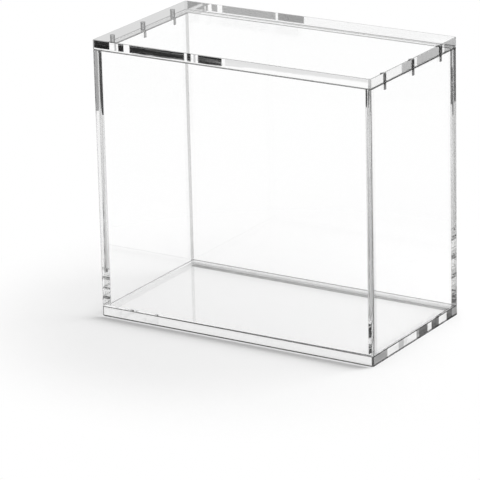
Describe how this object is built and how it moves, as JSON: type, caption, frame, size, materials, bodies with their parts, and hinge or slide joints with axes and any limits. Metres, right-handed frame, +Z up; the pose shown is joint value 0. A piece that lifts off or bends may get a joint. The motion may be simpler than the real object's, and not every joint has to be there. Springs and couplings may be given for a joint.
{
  "type": "acrylic display case",
  "caption": "Clear acrylic display case for a boxed collectable: cemented base and walls with a flush, loose, magnet-held lid that lifts off.",
  "frame": {"origin": "centre of the base plate's underside", "axes": "+X along the width to the right seen from the front, +Y from the front panel to the back panel, +Z up"},
  "size_m": [0.206, 0.112, 0.189],
  "materials": {
    "clear_acrylic": "polished clear",
    "magnet_nickel": "nickel plated"
  },
  "bodies": {
    "case": {"base_plate": "clear_acrylic", "front_panel": "clear_acrylic", "back_panel": "clear_acrylic", "left_panel": "clear_acrylic", "right_panel": "clear_acrylic", "wall_magnet_left_front": "magnet_nickel", "wall_magnet_left_middle": "magnet_nickel", "wall_magnet_left_rear": "magnet_nickel", "wall_magnet_right_front": "magnet_nickel", "wall_magnet_right_middle": "magnet_nickel", "wall_magnet_right_rear": "magnet_nickel"},
    "lid": {"lid_plate": "clear_acrylic", "lid_magnet_left_front": "magnet_nickel", "lid_magnet_left_middle": "magnet_nickel", "lid_magnet_left_rear": "magnet_nickel", "lid_magnet_right_front": "magnet_nickel", "lid_magnet_right_middle": "magnet_nickel", "lid_magnet_right_rear": "magnet_nickel"}
  },
  "joints": [
    {"name": "lid_lift", "type": "slide", "parent": "case", "child": "lid", "axis": [0, 0, 1], "range_m": [0, 0.18]}
  ]
}
